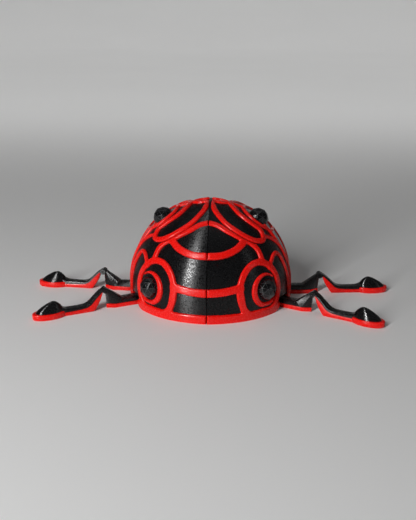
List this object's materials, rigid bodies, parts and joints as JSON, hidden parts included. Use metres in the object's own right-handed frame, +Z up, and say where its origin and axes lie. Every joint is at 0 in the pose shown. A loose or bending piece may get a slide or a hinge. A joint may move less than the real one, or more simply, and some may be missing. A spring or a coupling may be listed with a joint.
{
  "type": "hexapod spider robot",
  "caption": "Small domed walking robot: a two-part black shell with raised red tracery, faceted eyes and folding legs with flat oval feet.",
  "frame": {"origin": "centre of the round belly pad's underside, on the surface that the robot stands on", "axes": "+Z up, the face towards -Y, +X towards the robot's middle leg on the right of a viewer who faces it"},
  "size_m": [0.1802, 0.1245, 0.049],
  "materials": {
    "black_plastic": "printed plastic with fine layer lines and a silky sheen",
    "red_plastic": "satin printed plastic with rounded edges",
    "steel": "turned steel",
    "servo_case": "moulded case",
    "circuit_board": "solder mask",
    "battery_wrap": "shrink wrap"
  },
  "bodies": {
    "body": {"chassis_plate": "black_plastic", "battery": "battery_wrap", "controller_board": "circuit_board", "shell_right": "black_plastic", "tracery_right": "red_plastic", "eye_front_right": "black_plastic", "eye_top_right": "black_plastic", "eye_rear_right": "black_plastic", "crescent_front_right": "red_plastic", "crescent_rear_right": "red_plastic", "hip_servo_front_right": "servo_case", "hip_servo_middle_right": "servo_case", "hip_servo_rear_right": "servo_case", "shell_left": "black_plastic", "tracery_left": "red_plastic", "eye_front_left": "black_plastic", "eye_top_left": "black_plastic", "eye_rear_left": "black_plastic", "crescent_front_left": "red_plastic", "crescent_rear_left": "red_plastic", "hip_servo_front_left": "servo_case", "hip_servo_middle_left": "servo_case", "hip_servo_rear_left": "servo_case"},
    "upper_leg_front_right": {"thigh_front_right": "black_plastic", "thigh_sole_front_right": "red_plastic", "hip_shaft_front_right": "steel", "knee_pin_front_right": "black_plastic"},
    "lower_leg_front_right": {"shank_front_right": "black_plastic", "shank_sole_front_right": "red_plastic"},
    "upper_leg_middle_right": {"thigh_middle_right": "black_plastic", "thigh_sole_middle_right": "red_plastic", "hip_shaft_middle_right": "steel", "knee_pin_middle_right": "black_plastic"},
    "lower_leg_middle_right": {"shank_middle_right": "black_plastic", "shank_sole_middle_right": "red_plastic"},
    "upper_leg_rear_right": {"thigh_rear_right": "black_plastic", "thigh_sole_rear_right": "red_plastic", "hip_shaft_rear_right": "steel", "knee_pin_rear_right": "black_plastic"},
    "lower_leg_rear_right": {"shank_rear_right": "black_plastic", "shank_sole_rear_right": "red_plastic"},
    "upper_leg_front_left": {"thigh_front_left": "black_plastic", "thigh_sole_front_left": "red_plastic", "hip_shaft_front_left": "steel", "knee_pin_front_left": "black_plastic"},
    "lower_leg_front_left": {"shank_front_left": "black_plastic", "shank_sole_front_left": "red_plastic"},
    "upper_leg_middle_left": {"thigh_middle_left": "black_plastic", "thigh_sole_middle_left": "red_plastic", "hip_shaft_middle_left": "steel", "knee_pin_middle_left": "black_plastic"},
    "lower_leg_middle_left": {"shank_middle_left": "black_plastic", "shank_sole_middle_left": "red_plastic"},
    "upper_leg_rear_left": {"thigh_rear_left": "black_plastic", "thigh_sole_rear_left": "red_plastic", "hip_shaft_rear_left": "steel", "knee_pin_rear_left": "black_plastic"},
    "lower_leg_rear_left": {"shank_rear_left": "black_plastic", "shank_sole_rear_left": "red_plastic"}
  },
  "joints": [
    {"name": "hip_swing_front_right", "type": "hinge", "parent": "body", "child": "upper_leg_front_right", "pos_m": [0.03014, -0.01346, 0.006], "axis": [0, 0, 1], "range_deg": [-15, 15]},
    {"name": "knee_front_right", "type": "hinge", "parent": "upper_leg_front_right", "child": "lower_leg_front_right", "pos_m": [0.04971, -0.02373, 0.0093], "axis": [-0.4648, -0.8854, 0], "range_deg": [-30, 60]},
    {"name": "hip_swing_middle_right", "type": "hinge", "parent": "body", "child": "upper_leg_middle_right", "pos_m": [0.03302, 0.00038, 0.006], "axis": [0, 0, 1], "range_deg": [-15, 15]},
    {"name": "knee_middle_right", "type": "hinge", "parent": "upper_leg_middle_right", "child": "lower_leg_middle_right", "pos_m": [0.055, 0.00269, 0.0093], "axis": [0.1045, -0.9945, 0], "range_deg": [-30, 60]},
    {"name": "hip_swing_rear_right", "type": "hinge", "parent": "body", "child": "upper_leg_rear_right", "pos_m": [0.01795, 0.02795, 0.006], "axis": [0, 0, 1], "range_deg": [-15, 15]},
    {"name": "knee_rear_right", "type": "hinge", "parent": "upper_leg_rear_right", "child": "lower_leg_rear_right", "pos_m": [0.02441, 0.04908, 0.0093], "axis": [0.9563, -0.2924, 0], "range_deg": [-30, 60]},
    {"name": "hip_swing_front_left", "type": "hinge", "parent": "body", "child": "upper_leg_front_left", "pos_m": [-0.03014, -0.01346, 0.006], "axis": [0, 0, 1], "range_deg": [-15, 15]},
    {"name": "knee_front_left", "type": "hinge", "parent": "upper_leg_front_left", "child": "lower_leg_front_left", "pos_m": [-0.04971, -0.02373, 0.0093], "axis": [-0.4648, 0.8854, 0], "range_deg": [-30, 60]},
    {"name": "hip_swing_middle_left", "type": "hinge", "parent": "body", "child": "upper_leg_middle_left", "pos_m": [-0.03302, 0.00038, 0.006], "axis": [0, 0, 1], "range_deg": [-15, 15]},
    {"name": "knee_middle_left", "type": "hinge", "parent": "upper_leg_middle_left", "child": "lower_leg_middle_left", "pos_m": [-0.055, 0.00269, 0.0093], "axis": [0.1045, 0.9945, 0], "range_deg": [-30, 60]},
    {"name": "hip_swing_rear_left", "type": "hinge", "parent": "body", "child": "upper_leg_rear_left", "pos_m": [-0.01795, 0.02795, 0.006], "axis": [0, 0, 1], "range_deg": [-15, 15]},
    {"name": "knee_rear_left", "type": "hinge", "parent": "upper_leg_rear_left", "child": "lower_leg_rear_left", "pos_m": [-0.02441, 0.04908, 0.0093], "axis": [0.9563, 0.2924, 0], "range_deg": [-30, 60]}
  ]
}
